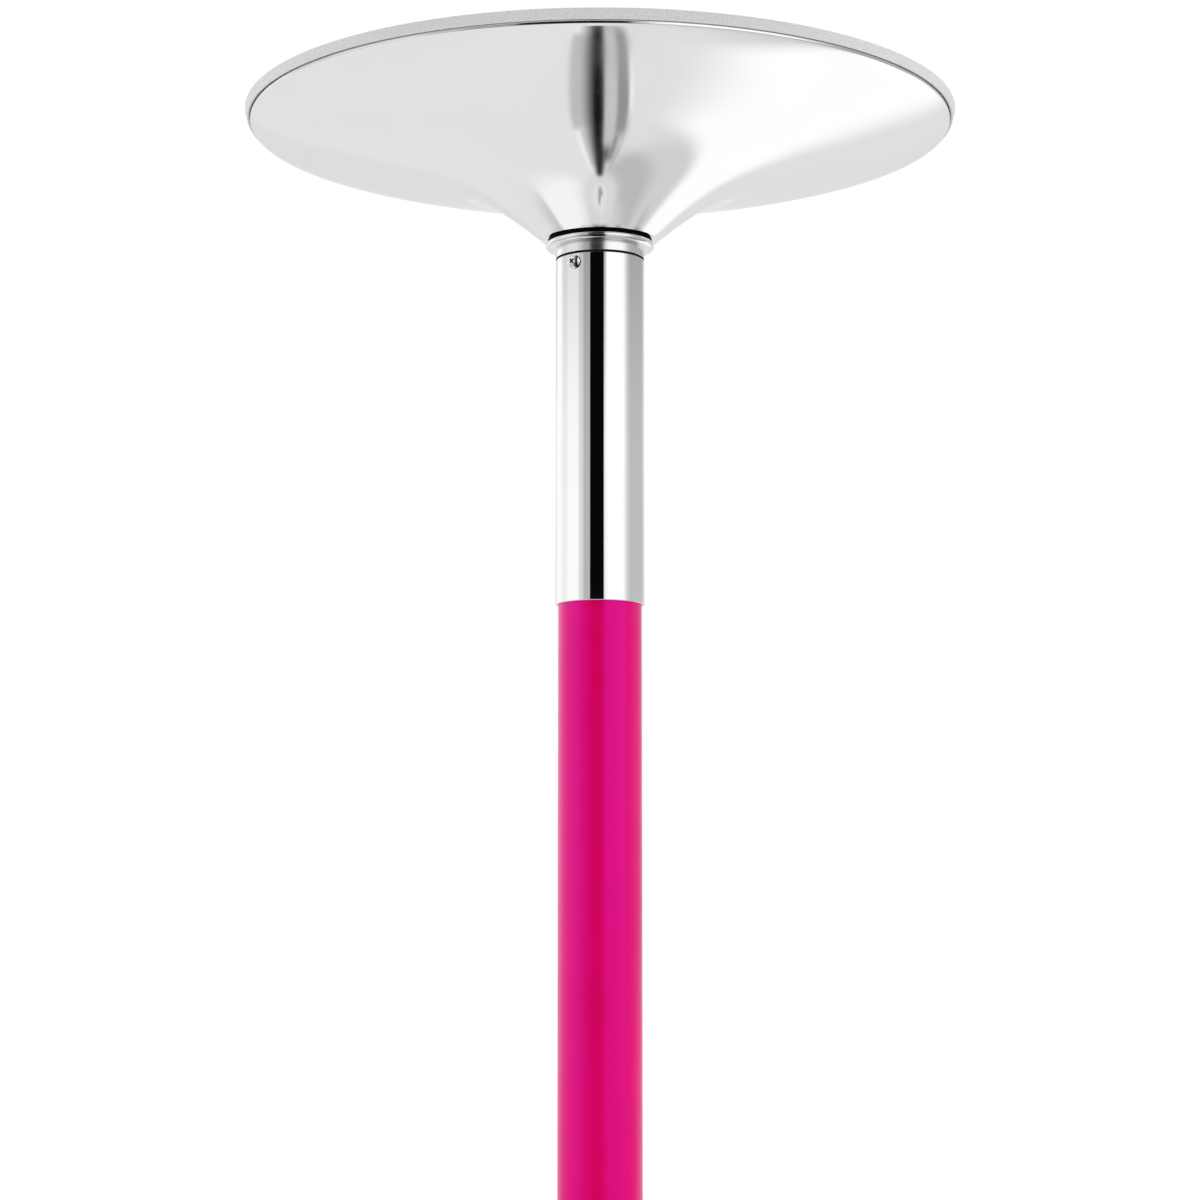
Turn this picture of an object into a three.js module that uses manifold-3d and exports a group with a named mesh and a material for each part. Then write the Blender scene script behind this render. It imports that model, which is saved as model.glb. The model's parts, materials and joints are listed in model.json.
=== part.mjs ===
// A spinning dance pole that is clamped between floor and ceiling, in millimetres, +Z up.
// The origin is on the floor, on the pole's axis. Azimuth 0 is the front, at -Y, and a quarter
// turn on is +X.
import * as THREE from 'three';
import { mergeVertices } from 'three/addons/utils/BufferGeometryUtils.js';
import Module from 'manifold-3d';

const wasm = await Module();
wasm.setup();

const turn = Math.PI * 2;
const hexSides = 6;

// Room and grip tube
const ceilingHeight = 2400;
const gripDiameter = 45;
const gripWall = 2;
const lowerTubeLength = 1040;

// Clearances
const seatGap = 0.25;
const runningGap = 0.3;
const slipGap = 0.25;
const screwGap = 0.2;
const ballGap = 0.5;
const cutOverrun = 1;

// Pad and plate, the same at both ends. The plate lies inside the pad's skirt, a little deeper
// than the skirt's edge, and the cover's rim stands on it there.
const padDiameter = 388;
const padThickness = 5.4;
const padSkirt = 2.6;
const padEdge = 0.8;
const padTaper = 1.3;
const plateThickness = 2.8;
const plateRecess = 0.7;

// Trumpet cover, the same pressing at both ends
const rimRoll = 0.6;
const bellDepth = 69.4;
const bellSheet = 1.2;
const neckLand = 4.2;
const neckClearance = 0.6;
const neckChamfer = 0.2;

// The bell's slope, as depth for each unit of radius: steep at the neck, a shallow cone further
// out, and a little steeper again at the rim. A reach is how far a change of slope extends.
const neckSlope = 0.855;
const neckReach = 45;
const coneSlope = 0.234;
const rimSlope = 0.152;
const rimReach = 12;
const flareShares = [0, 0.12, 0.25, 0.42, 0.88, 1];
const fallSteps = 200;

// Collars
const washerInset = 3.75;
const washerThickness = 1;
const beadInset = 2;
const beadHeight = 3.65;
const stepProud = 0.2;
const topStepHeight = 5.35;
const baseStepHeight = 26;
const stepChamfer = 0.3;

// Sleeves, with the hub and the bush that fill their ends
const sleeveWall = 1.25;
const topSleeveLength = 189;
const bottomSleeveLength = 150;
const plugLength = 30;
const spigotLength = 40;
const plugChamfer = 0.8;
const hubBearingLip = 2.5;
const spinWasherThickness = 0.6;
const spinWasherRecess = 0.4;
const spinWasherWidth = 5.6;

// Cross-recess pan head screws through the sleeves
const panAzimuth = THREE.MathUtils.degToRad(-35);
const panHeadDiameter = 7.8;
const panHeadHeight = 2.4;
const panShankDiameter = 4;
const panTipWall = 0.9;
const panSideShare = 0.5;
const panShoulderShare = 0.87;
const panShoulderHeightShare = 0.92;
const hubScrewDrop = 4.6;
const bushScrewRise = 12;
const recessLength = 4.2;
const recessWidth = 0.9;
const recessDepth = 1.3;

// Ceiling post and the flanged bolt that keeps the bearing on it
const postDiameter = 28;
const postFlangeDiameter = 84;
const postFlangeThickness = 4;
const bearingShoulder = 2.5;
const postShoulderLength = 2.2;
const boltShankDiameter = 8;
const boltShankLength = 18;
const boltFlangeThickness = 1.5;
const boltHeadAcross = 13;
const boltHeadHeight = 5.3;

// Countersunk screws that hold the post and the housing to the plates
const flangeScrewCount = 4;
const flangeScrewCircle = 64;
const countersunkHeadDiameter = 9.2;
const countersunkHeadHeight = 2.2;
const countersunkShankDiameter = 5;
const countersunkLength = 6;

// Ball bearings: bore, outside diameter, and width or height
const topBearing = { bore: 17, outside: 35, width: 10 };
const baseBearing = { bore: 25, outside: 47, width: 12 };
const thrustBearing = { bore: 25, outside: 42, height: 11 };
const raceThicknessShare = 0.3;
const ballRadiusShare = 0.3;
const cageThicknessShare = 0.12;
const cageHeightShare = 0.3;
const thrustRaceShare = 0.29;
const thrustBallShare = 0.28;
const grooveFloorShare = 0.45;
const radialBallCount = 8;
const thrustBallCount = 10;

// Base housing and what turns in it
const housingFlangeDiameter = 96;
const housingFlangeThickness = 5;
const housingWall = 2.9;
const housingFloor = 6.3;
const spindleShoulderDiameter = 34;
const spindleShoulderHeight = 6;
const rotorHubWall = 4.9;
const rotorHubProud = 0.4;
const hubGrooveDepth = 1.4;
const hubGrooveWidth = 10;
const collarRunningGap = 0.5;

// Screw jack
const threadDiameter = 24;
const threadChamfer = 1.5;
const spindleReserve = 54;
const exposedThread = 39;
const nutAcross = 41;
const nutHeight = 22;
const jamNutHeight = 11;
const nutChamfer = 1.6;
const thrustRingDiameter = 40;
const thrustRingThickness = 2;

// Spin lock screws
const lockAzimuths = [turn / 4, -turn / 4];
const lockScrewDiameter = 6;
const lockScrewRecess = 0.4;
const lockTipGap = 1;
const lockScrewRise = 13.4;
const lockSocketAcross = 3;
const lockSocketDepth = 2.4;

// Expanding joint between the grip tubes
const jointLength = 160;
const jointCoreThickness = 9;
const jointCoreWidth = 30;
const jointBoltSpacing = 80;
const jointBoltDiameter = 10;
const jointBoltInset = 2.5;
const jointSocketAcross = 5;
const jointSocketDepth = 4;
const keyHoleDiameter = 8;

// Facets round a turned piece, and steps round the rim's roll and the collar's bead
const wideFacets = 40;
const tubeFacets = 24;
const innerFacets = 16;
const panFacets = 12;
const smallFacets = 8;
const ballFacets = 6;
const ballRings = 3;
const rollSteps = 2;
const beadSteps = 4;

const finishes = {
  chrome: { color: 0xdfe1e4, roughness: 0.06, metalness: 1 },
  grip: { color: 0xd90f74, roughness: 0.32, metalness: 0 },
  rubber: { color: 0x9b9da0, roughness: 0.85, metalness: 0 },
  nylon: { color: 0x101011, roughness: 0.5, metalness: 0 },
  steel: { color: 0xa9adb2, roughness: 0.35, metalness: 1 },
  brass: { color: 0xc9a253, roughness: 0.3, metalness: 1 },
};

const materials = {};
for (const [name, finish] of Object.entries(finishes)) {
  materials[name] = new THREE.MeshStandardMaterial(finish);
}

function piece(name, finish, geometry) {
  const mesh = new THREE.Mesh(geometry, materials[finish].clone());
  mesh.name = name;
  return mesh;
}

// The unit vector that points out from the axis at an azimuth
function outward(azimuth) {
  return new THREE.Vector3(Math.sin(azimuth), -Math.cos(azimuth), 0);
}

// A piece turned about Z from its outline of [radius, height] points. An outline that doesn't
// touch the axis is closed into a ring.
function turned(outline, facets) {
  const around = outline.map((point, i) => [point, outline[(i + 1) % outline.length]]);
  const area = around.reduce((sum, [a, b]) => sum + a[0] * b[1] - b[0] * a[1], 0);
  const ordered = area > 0 ? [...outline] : [...outline].reverse();
  const touchesAxis = ordered.some((point) => point[0] === 0);
  if (touchesAxis) {
    while (ordered[0][0] !== 0 || ordered[ordered.length - 1][0] !== 0) {
      ordered.push(ordered.shift());
    }
  } else {
    ordered.push(ordered[0]);
  }
  const points = ordered.map(([radius, height]) => new THREE.Vector2(radius, height));
  return new THREE.LatheGeometry(points, facets).rotateX(turn / 4);
}

function ring(inner, outer, low, high, facets) {
  return turned([[inner, low], [outer, low], [outer, high], [inner, high]], facets);
}

function disc(radius, low, high, facets) {
  return turned([[0, low], [radius, low], [radius, high], [0, high]], facets);
}

function solidOf(geometry) {
  const bare = geometry.clone();
  bare.deleteAttribute('normal');
  bare.deleteAttribute('uv');
  const merged = mergeVertices(bare);
  const vertProperties = merged.attributes.position.array;
  const triVerts = new Uint32Array(merged.index.array);
  return new wasm.Manifold(new wasm.Mesh({ numProp: 3, vertProperties, triVerts }));
}

function geometryOf(solid) {
  const mesh = solid.getMesh();
  const geometry = new THREE.BufferGeometry();
  geometry.setAttribute('position', new THREE.BufferAttribute(mesh.vertProperties, mesh.numProp));
  geometry.setIndex(new THREE.BufferAttribute(mesh.triVerts, 1));
  geometry.computeVertexNormals();
  return geometry;
}

function cut(geometry, ...tools) {
  return geometryOf(tools.reduce((solid, tool) => solid.subtract(solidOf(tool)), solidOf(geometry)));
}

function join(geometry, ...others) {
  return geometryOf(others.reduce((solid, other) => solid.add(solidOf(other)), solidOf(geometry)));
}

// Turns a geometry whose own axis is +Z so that it points out at an azimuth and a height
function pointOut(geometry, azimuth, height) {
  const aim = new THREE.Quaternion().setFromUnitVectors(new THREE.Vector3(0, 0, 1), outward(azimuth));
  return geometry.applyQuaternion(aim).translate(0, 0, height);
}

function radialDrill(diameter, fromRadius, toRadius, azimuth, height) {
  return pointOut(disc(diameter / 2, fromRadius, toRadius, smallFacets), azimuth, height);
}

function hexCorner(across) {
  return across / 2 / Math.cos(turn / hexSides / 2);
}

function hexPrism(across, low, high) {
  return disc(hexCorner(across), low, high, hexSides);
}

// Radii of the nested tubes and of the collar's step, which carries their line on
const gripRadius = gripDiameter / 2;
const gripBore = gripRadius - gripWall;
const sleeveBore = gripRadius + slipGap;
const sleeveRadius = sleeveBore + sleeveWall;
const stepRadius = sleeveRadius + stepProud;

// Radii of the housing, of the trumpet's neck round it, and of what lies on the neck
const housingBore = baseBearing.outside / 2 + seatGap;
const housingRadius = housingBore + housingWall;
const neckBore = housingRadius + neckClearance;
const neckRadius = neckBore + neckLand;
const washerRadius = neckRadius - washerInset;
const beadRadius = neckRadius - beadInset;

// Heights above the mounting face, the same at the floor and at the ceiling
const plateTop = padThickness - plateRecess;
const plateBottom = plateTop - plateThickness;
const flangeSeat = plateTop + seatGap;
const washerLow = bellDepth + seatGap;
const washerHigh = washerLow + washerThickness;
const collarLow = washerHigh + seatGap;
const beadTop = collarLow + beadHeight;
const topCollarEnd = beadTop + topStepHeight;
const baseCollarEnd = beadTop + baseStepHeight;
const spinWasherLow = topCollarEnd + runningGap;
const spinWasherHigh = spinWasherLow + spinWasherThickness;
const topSleeveDepth = spinWasherHigh + runningGap;

const padRadius = padDiameter / 2;
const skirtBore = padRadius - padSkirt;

function padGeometry() {
  return turned([
    [0, 0],
    [padRadius - padEdge, 0],
    [padRadius, padEdge],
    [padRadius - padTaper, padThickness],
    [skirtBore, padThickness],
    [skirtBore, plateBottom - seatGap],
    [0, plateBottom - seatGap],
  ], wideFacets);
}

function flangeScrewPlaces() {
  const places = [];
  for (let i = 0; i < flangeScrewCount; i += 1) {
    const azimuth = (turn * (i + 1 / 2)) / flangeScrewCount;
    places.push(outward(azimuth).multiplyScalar(flangeScrewCircle / 2));
  }
  return places;
}

function countersunkOutline(growth) {
  const shank = countersunkShankDiameter / 2 + growth;
  const head = countersunkHeadDiameter / 2 + growth;
  const tip = plateBottom + countersunkLength + growth;
  return [
    [0, plateBottom],
    [head, plateBottom],
    [shank, plateBottom + countersunkHeadHeight + growth],
    [shank, tip],
    [0, tip],
  ];
}

function countersunkCutters() {
  const mouth = countersunkHeadDiameter / 2 + screwGap;
  return flangeScrewPlaces().map((place) =>
    join(
      turned(countersunkOutline(screwGap), smallFacets),
      disc(mouth, plateBottom - cutOverrun, plateBottom, smallFacets),
    ).translate(place.x, place.y, 0));
}

function countersunkScrews(prefix) {
  return flangeScrewPlaces().map((place, i) => {
    const screw = piece(`${prefix}_${i + 1}`, 'steel', turned(countersunkOutline(0), smallFacets));
    screw.position.copy(place);
    return screw;
  });
}

function plateGeometry() {
  return cut(disc(skirtBore - seatGap, plateBottom, plateTop, wideFacets), ...countersunkCutters());
}

const rollCentre = skirtBore - seatGap - rimRoll;
const rollHeight = flangeSeat + rimRoll;
const rollLean = Math.atan(coneSlope + rimSlope);
const flareEnd = rollCentre + rimRoll * Math.sin(rollLean);
const flareWidth = flareEnd - neckRadius;
const flareDrop = bellDepth - neckChamfer - rollHeight - rimRoll * Math.cos(rollLean);

// Slope of the bell's visible side, a distance out from the neck
function flareSlope(distance) {
  const neck = (neckSlope - coneSlope) * Math.exp(-((distance / neckReach) ** 2));
  const rim = rimSlope * Math.exp((distance - flareWidth) / rimReach);
  return coneSlope + neck + rim;
}

// How far the visible side falls from the neck out to a distance
function flareFall(distance) {
  const step = distance / fallSteps;
  let fall = 0;
  for (let i = 0; i < fallSteps; i += 1) {
    fall += flareSlope((i + 1 / 2) * step) * step;
  }
  return fall;
}

// Height and slope of the visible side, scaled so that the flare ends on the rolled rim
function flareAt(distance) {
  const fit = flareDrop / flareFall(flareWidth);
  return {
    height: bellDepth - neckChamfer - flareFall(distance) * fit,
    slope: flareSlope(distance) * fit,
  };
}

function bellGeometry() {
  const shown = [];
  const hidden = [];
  for (const share of flareShares) {
    const radius = neckRadius + flareWidth * share;
    const { height, slope } = flareAt(flareWidth * share);
    const inward = new THREE.Vector2(slope, 1).normalize().multiplyScalar(bellSheet);
    shown.push([radius, height]);
    hidden.push([radius - inward.x, Math.max(height - inward.y, flangeSeat)]);
  }
  const roll = [];
  for (let i = 0; i <= rollSteps; i += 1) {
    const angle = (turn / 4 - rollLean) * (1 - i / rollSteps) - (turn / 4) * (i / rollSteps);
    roll.push([rollCentre + rimRoll * Math.cos(angle), rollHeight + rimRoll * Math.sin(angle)]);
  }
  const neck = [
    [neckBore, bellDepth - bellSheet],
    [neckBore, bellDepth],
    [neckRadius - bellSheet, bellDepth],
  ];
  return turned([...neck, ...shown, ...roll, ...hidden.reverse()], wideFacets);
}

// Collar outline: a half-round bead, then a straight step
function collarOuter(end) {
  const nose = beadHeight / 2;
  const noseCentre = beadRadius - nose;
  const outline = [];
  for (let i = 0; i <= beadSteps; i += 1) {
    const angle = (turn / 2) * (i / beadSteps - 1 / 2);
    outline.push([noseCentre + nose * Math.cos(angle), collarLow + nose + nose * Math.sin(angle)]);
  }
  outline.push([stepRadius, beadTop]);
  outline.push([stepRadius, end - stepChamfer]);
  outline.push([stepRadius - stepChamfer, end]);
  return outline;
}

function ballSet(pitch, radius, height, count, cage) {
  const balls = [];
  for (let i = 0; i < count; i += 1) {
    const place = outward((turn * i) / count).multiplyScalar(pitch);
    const ball = new THREE.SphereGeometry(radius, ballFacets, ballRings);
    balls.push(ball.translate(place.x, place.y, height));
  }
  return join(cage, ...balls);
}

// A deep-groove ball bearing that starts at a height, as inner race, outer race, and cage with
// its balls
function radialBearing({ bore, outside, width }, low) {
  const innerRadius = bore / 2;
  const outerRadius = outside / 2;
  const section = outerRadius - innerRadius;
  const middle = low + width / 2;
  const pitch = innerRadius + section / 2;
  const ball = section * ballRadiusShare;
  const innerLand = innerRadius + section * raceThicknessShare;
  const outerLand = outerRadius - section * raceThicknessShare;
  const mouth = Math.sqrt(ball ** 2 - (pitch - innerLand) ** 2) + ballGap;
  const floor = ball * grooveFloorShare;
  const race = (back, land, bottom) => turned([
    [back, low],
    [land, low],
    [land, middle - mouth],
    [bottom, middle - floor],
    [bottom, middle + floor],
    [land, middle + mouth],
    [land, low + width],
    [back, low + width],
  ], innerFacets);
  const cage = (section * cageThicknessShare) / 2;
  const cageHalf = (width * cageHeightShare) / 2;
  return {
    inner: race(innerRadius, innerLand, pitch - ball - ballGap),
    outer: race(outerRadius, outerLand, pitch + ball + ballGap),
    balls: ballSet(pitch, ball, middle, radialBallCount, ring(
      pitch - cage, pitch + cage, middle - cageHalf, middle + cageHalf, innerFacets,
    )),
  };
}

// A thrust ball bearing that stands on a height, as lower race, upper race, and cage with its
// balls
function thrustBearingPieces({ bore, outside, height }, low) {
  const boreRadius = bore / 2 + screwGap;
  const outsideRadius = outside / 2 - screwGap;
  const pitch = (boreRadius + outsideRadius) / 2;
  const race = height * thrustRaceShare;
  const ball = height * thrustBallShare;
  const middle = low + height / 2;
  const mouth = Math.sqrt(ball ** 2 - (height / 2 - race) ** 2) + ballGap;
  const floor = ball * grooveFloorShare;
  const washer = (back, side) => {
    const face = back + side * race;
    const bottom = middle - side * (ball + ballGap);
    return turned([
      [boreRadius, back],
      [boreRadius, face],
      [pitch - mouth, face],
      [pitch - floor, bottom],
      [pitch + floor, bottom],
      [pitch + mouth, face],
      [outsideRadius, face],
      [outsideRadius, back],
    ], innerFacets);
  };
  const cage = (outsideRadius - boreRadius) / 2 - ballGap;
  const cageHalf = (height * cageThicknessShare) / 2;
  return {
    lower: washer(low, 1),
    upper: washer(low + height, -1),
    balls: ballSet(pitch, ball, middle, thrustBallCount, ring(
      pitch - cage, pitch + cage, middle - cageHalf, middle + cageHalf, innerFacets,
    )),
  };
}

// The top bearing's place, as depths below the ceiling
const shoulderEnd = topCollarEnd + postShoulderLength;
const topBearingDepth = shoulderEnd + seatGap;
const topBearingEnd = topBearingDepth + topBearing.width;
const journalEnd = topBearingEnd - seatGap;
const postShoulderRadius = topBearing.bore / 2 + bearingShoulder;
const topRaces = radialBearing(topBearing, topBearingDepth);

function postGeometry() {
  const post = turned([
    [0, flangeSeat],
    [postFlangeDiameter / 2, flangeSeat],
    [postFlangeDiameter / 2, flangeSeat + postFlangeThickness],
    [postDiameter / 2, flangeSeat + postFlangeThickness],
    [postDiameter / 2, topCollarEnd],
    [postShoulderRadius, topCollarEnd],
    [postShoulderRadius, shoulderEnd],
    [topBearing.bore / 2 - screwGap, shoulderEnd],
    [topBearing.bore / 2 - screwGap, journalEnd],
    [0, journalEnd],
  ], innerFacets);
  const boltHole = disc(
    boltShankDiameter / 2 + screwGap,
    topBearingEnd - boltShankLength - seatGap,
    journalEnd + cutOverrun,
    innerFacets,
  );
  return cut(post, boltHole, ...countersunkCutters());
}

function bearingBoltGeometry() {
  const low = topBearingEnd + seatGap;
  const body = turned([
    [0, low - boltShankLength],
    [boltShankDiameter / 2, low - boltShankLength],
    [boltShankDiameter / 2, low],
    [postShoulderRadius, low],
    [postShoulderRadius, low + boltFlangeThickness],
    [0, low + boltFlangeThickness],
  ], innerFacets);
  return join(body, hexPrism(boltHeadAcross, low, low + boltFlangeThickness + boltHeadHeight));
}

// Pad, plate, cover, washer and flange screws, which both ends have
function addMountingEnd(group, names, washerBore) {
  group.add(piece(names.pad, 'rubber', padGeometry()));
  group.add(piece(names.plate, 'steel', plateGeometry()));
  group.add(piece(names.bell, 'chrome', bellGeometry()));
  const washer = ring(washerBore, washerRadius, washerLow, washerHigh, tubeFacets);
  group.add(piece(names.washer, 'nylon', washer));
  group.add(...countersunkScrews(names.screw));
}

function ceilingEnd() {
  const group = new THREE.Group();
  const collarBore = postDiameter / 2 + screwGap;
  addMountingEnd(group, {
    pad: 'ceiling_pad',
    plate: 'ceiling_plate',
    bell: 'top_bell',
    washer: 'bell_washer',
    screw: 'post_screw',
  }, collarBore);
  const collar = turned([
    [collarBore, collarLow],
    ...collarOuter(topCollarEnd),
    [collarBore, topCollarEnd],
  ], tubeFacets);
  group.add(piece('top_collar', 'chrome', collar));
  group.add(piece('ceiling_post', 'steel', postGeometry()));
  group.add(piece('top_bearing_inner', 'steel', topRaces.inner));
  group.add(piece('top_bearing_balls', 'steel', topRaces.balls));
  group.add(piece('bearing_bolt', 'steel', bearingBoltGeometry()));
  group.rotation.x = turn / 2;
  group.position.z = ceilingHeight;
  return group;
}

// Heights of what stands in the base housing
const housingFloorTop = flangeSeat + housingFloor;
const thrustLow = housingFloorTop + seatGap;
const shoulderLow = thrustLow + thrustBearing.height + seatGap;
const shoulderHigh = shoulderLow + spindleShoulderHeight;
const baseBearingLow = shoulderHigh + seatGap;
const hubLow = baseBearingLow + baseBearing.width + seatGap;
const rotorHubTop = baseCollarEnd + rotorHubProud;
const rotorHubBore = baseBearing.bore / 2 + screwGap;
const rotorHubRadius = rotorHubBore + rotorHubWall;
const lockHeight = beadTop + lockScrewRise;
const baseRaces = radialBearing(baseBearing, baseBearingLow);
const thrustPieces = thrustBearingPieces(thrustBearing, thrustLow);

function housingGeometry() {
  const pocket = thrustBearing.outside / 2 + screwGap;
  const housing = turned([
    [0, flangeSeat],
    [housingFlangeDiameter / 2, flangeSeat],
    [housingFlangeDiameter / 2, flangeSeat + housingFlangeThickness],
    [housingRadius, flangeSeat + housingFlangeThickness],
    [housingRadius, bellDepth],
    [housingBore, bellDepth],
    [housingBore, shoulderHigh],
    [pocket, shoulderHigh],
    [pocket, housingFloorTop],
    [0, housingFloorTop],
  ], tubeFacets);
  return cut(housing, ...countersunkCutters());
}

function baseCollarGeometry() {
  const bore = rotorHubRadius + collarRunningGap;
  const spigot = baseBearing.outside / 2 - screwGap;
  const collar = turned([
    [bore, hubLow],
    [spigot, hubLow],
    [spigot, collarLow],
    ...collarOuter(baseCollarEnd),
    [bore, baseCollarEnd],
  ], tubeFacets);
  const drillDiameter = lockScrewDiameter + 2 * screwGap;
  const drillEnd = stepRadius + cutOverrun;
  const drills = lockAzimuths.map((azimuth) =>
    radialDrill(drillDiameter, rotorHubRadius, drillEnd, azimuth, lockHeight));
  return cut(collar, ...drills);
}

function floorEnd() {
  const group = new THREE.Group();
  addMountingEnd(group, {
    pad: 'floor_pad',
    plate: 'base_plate',
    bell: 'base_bell',
    washer: 'base_washer',
    screw: 'housing_screw',
  }, housingBore);
  group.add(piece('base_housing', 'steel', housingGeometry()));
  group.add(piece('base_collar', 'chrome', baseCollarGeometry()));
  group.add(piece('base_bearing_outer', 'steel', baseRaces.outer));
  group.add(piece('thrust_race_lower', 'steel', thrustPieces.lower));
  return group;
}

function lockScrews() {
  const head = stepRadius - lockScrewRecess;
  const tip = rotorHubRadius + lockTipGap;
  return lockAzimuths.map((azimuth, i) => {
    const body = disc(lockScrewDiameter / 2, tip, head, smallFacets);
    const socket = hexPrism(lockSocketAcross, head - lockSocketDepth, head + cutOverrun);
    return piece(`lock_screw_${i + 1}`, 'steel', pointOut(cut(body, socket), azimuth, lockHeight));
  });
}

// Nuts of the screw jack, stacked up to the bottom of the pole
const jamNutLow = rotorHubTop + exposedThread;
const adjusterLow = jamNutLow + jamNutHeight + seatGap;
const thrustRingLow = adjusterLow + nutHeight + seatGap;
const thrustRingHigh = thrustRingLow + thrustRingThickness;
const nutBore = threadDiameter / 2 + slipGap;

// Pole heights
const poleBottom = thrustRingHigh + seatGap;
const poleTop = ceilingHeight - topSleeveDepth;
const hubScrewHeight = poleTop - hubScrewDrop;
const bushScrewHeight = poleBottom + bushScrewRise;
const bushTop = poleBottom + plugLength + spigotLength;
const spindleTop = bushTop + spindleReserve;
const lowerTubeLow = poleBottom + plugLength + seatGap;
const seamHeight = lowerTubeLow + lowerTubeLength;
const upperTubeLow = seamHeight + seatGap;
const upperTubeHigh = poleTop - plugLength - seatGap;
const plugRadius = sleeveBore - slipGap;
const spigotRadius = gripBore - slipGap;
const hubPocketRadius = topBearing.outside / 2 + screwGap;
const panAzimuths = [panAzimuth, panAzimuth + turn / 2];
const keyAzimuth = panAzimuths[1];

function spindleGeometry() {
  const journal = baseBearing.bore / 2 - screwGap;
  const thread = threadDiameter / 2;
  return turned([
    [0, thrustLow],
    [journal, thrustLow],
    [journal, shoulderLow],
    [spindleShoulderDiameter / 2, shoulderLow],
    [spindleShoulderDiameter / 2, shoulderHigh],
    [journal, shoulderHigh],
    [journal, rotorHubTop],
    [thread, rotorHubTop],
    [thread, spindleTop - threadChamfer],
    [thread - threadChamfer, spindleTop],
    [0, spindleTop],
  ], innerFacets);
}

function rotorHubGeometry() {
  const grooveRadius = rotorHubRadius - hubGrooveDepth;
  const grooveHalf = hubGrooveWidth / 2;
  return turned([
    [rotorHubBore, hubLow],
    [rotorHubRadius, hubLow],
    [rotorHubRadius, lockHeight - grooveHalf],
    [grooveRadius, lockHeight - grooveHalf + hubGrooveDepth],
    [grooveRadius, lockHeight + grooveHalf - hubGrooveDepth],
    [rotorHubRadius, lockHeight + grooveHalf],
    [rotorHubRadius, rotorHubTop],
    [rotorHubBore, rotorHubTop],
  ], innerFacets);
}

function rotor() {
  const group = new THREE.Group();
  group.add(piece('spindle', 'steel', spindleGeometry()));
  group.add(piece('rotor_hub', 'steel', rotorHubGeometry()));
  group.add(piece('base_bearing_inner', 'steel', baseRaces.inner));
  group.add(piece('base_bearing_balls', 'steel', baseRaces.balls));
  group.add(piece('thrust_race_upper', 'steel', thrustPieces.upper));
  group.add(piece('thrust_balls', 'steel', thrustPieces.balls));
  return group;
}

// A hex nut whose corners are turned off at both faces
function nutGeometry(low, height) {
  const corner = hexCorner(nutAcross);
  const blank = turned([
    [nutBore, low],
    [corner - nutChamfer, low],
    [corner, low + nutChamfer],
    [corner, low + height - nutChamfer],
    [corner - nutChamfer, low + height],
    [nutBore, low + height],
  ], tubeFacets);
  const hexBar = hexPrism(nutAcross, low - cutOverrun, low + height + cutOverrun);
  return geometryOf(solidOf(blank).intersect(solidOf(hexBar)));
}

function adjuster() {
  const group = new THREE.Group();
  group.add(piece('jam_nut', 'chrome', nutGeometry(jamNutLow, jamNutHeight)));
  group.add(piece('adjuster_nut', 'chrome', nutGeometry(adjusterLow, nutHeight)));
  return group;
}

// Holes for both pan head screws of a sleeve, at a height and out from a radius
function panScrewDrills(fromRadius, height) {
  const diameter = panShankDiameter + 2 * screwGap;
  return panAzimuths.map((azimuth) =>
    radialDrill(diameter, fromRadius, sleeveRadius + cutOverrun, azimuth, height));
}

function sleeveGeometry(low, high, screwHeight) {
  const drills = panScrewDrills(gripBore, screwHeight);
  return cut(ring(sleeveBore, sleeveRadius, low, high, tubeFacets), ...drills);
}

// Hub in the top of the pole: bearing pocket at its upper end, spigot into the grip tube below
function hubGeometry() {
  const pocketLow = ceilingHeight - topBearingEnd - seatGap;
  const shoulder = poleTop - plugLength;
  const end = shoulder - spigotLength;
  const bore = hubPocketRadius - hubBearingLip;
  const hub = turned([
    [bore, end],
    [spigotRadius - plugChamfer, end],
    [spigotRadius, end + plugChamfer],
    [spigotRadius, shoulder],
    [plugRadius, shoulder],
    [plugRadius, poleTop],
    [hubPocketRadius, poleTop],
    [hubPocketRadius, pocketLow],
    [bore, pocketLow],
  ], innerFacets);
  return cut(hub, ...panScrewDrills(hubPocketRadius + panTipWall - screwGap, hubScrewHeight));
}

// Bush in the bottom of the pole, a loose fit on the thread, which stands on the thrust ring
function bushGeometry() {
  const shoulder = poleBottom + plugLength;
  const bush = turned([
    [nutBore, poleBottom],
    [plugRadius, poleBottom],
    [plugRadius, shoulder],
    [spigotRadius, shoulder],
    [spigotRadius, bushTop - plugChamfer],
    [spigotRadius - plugChamfer, bushTop],
    [nutBore, bushTop],
  ], innerFacets);
  return cut(bush, ...panScrewDrills(hubPocketRadius + panTipWall - screwGap, bushScrewHeight));
}

// Pan head screw along +Z, from its tip to the crown of its head on the sleeve
function panScrewGeometry() {
  const tip = hubPocketRadius + panTipWall;
  const seat = sleeveRadius + seatGap / 2;
  const headRadius = panHeadDiameter / 2;
  const screw = turned([
    [0, tip],
    [panShankDiameter / 2, tip],
    [panShankDiameter / 2, seat],
    [headRadius, seat],
    [headRadius, seat + panHeadHeight * panSideShare],
    [headRadius * panShoulderShare, seat + panHeadHeight * panShoulderHeightShare],
    [0, seat + panHeadHeight],
  ], panFacets);
  const slotHeight = recessDepth + cutOverrun;
  const slotMiddle = seat + panHeadHeight - recessDepth + slotHeight / 2;
  const slots = [[recessLength, recessWidth], [recessWidth, recessLength]].map(([along, across]) =>
    new THREE.BoxGeometry(along, across, slotHeight).translate(0, 0, slotMiddle));
  return cut(screw, ...slots);
}

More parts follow.
